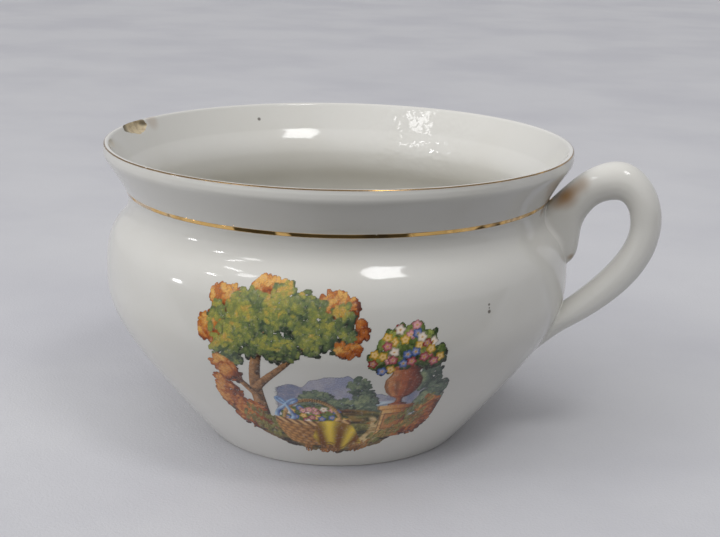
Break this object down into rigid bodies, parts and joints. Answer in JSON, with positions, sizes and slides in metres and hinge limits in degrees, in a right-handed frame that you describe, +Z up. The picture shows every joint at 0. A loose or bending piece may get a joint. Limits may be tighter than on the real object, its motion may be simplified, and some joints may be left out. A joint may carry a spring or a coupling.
{
  "type": "chamber pot",
  "caption": "Round-bellied glazed earthenware chamber pot with a flared collar, a loop handle with a spurred root, gilt lines and a printed garden vignette.",
  "frame": {"origin": "the centre of the foot, on the plane that the foot ring rests on", "axes": "+Z up along the pot's axis, +X towards the handle, so that the printed vignette faces about -Y"},
  "size_m": [0.2621, 0.2207, 0.14],
  "materials": {
    "glaze": "clear glossy glaze over a warm off-white earthenware body",
    "slip": "fired clay slip",
    "gilt": "burnished gilding, a little rubbed",
    "print": "overglaze transfer print in enamel colours"
  },
  "bodies": {
    "root": {"pot_body": "glaze", "handle": "glaze", "upper_slip_joint": "slip", "lower_slip_joint": "slip", "gilt_rim_line": "gilt", "gilt_neck_band": "gilt", "printed_vignette": "print"}
  },
  "joints": []
}
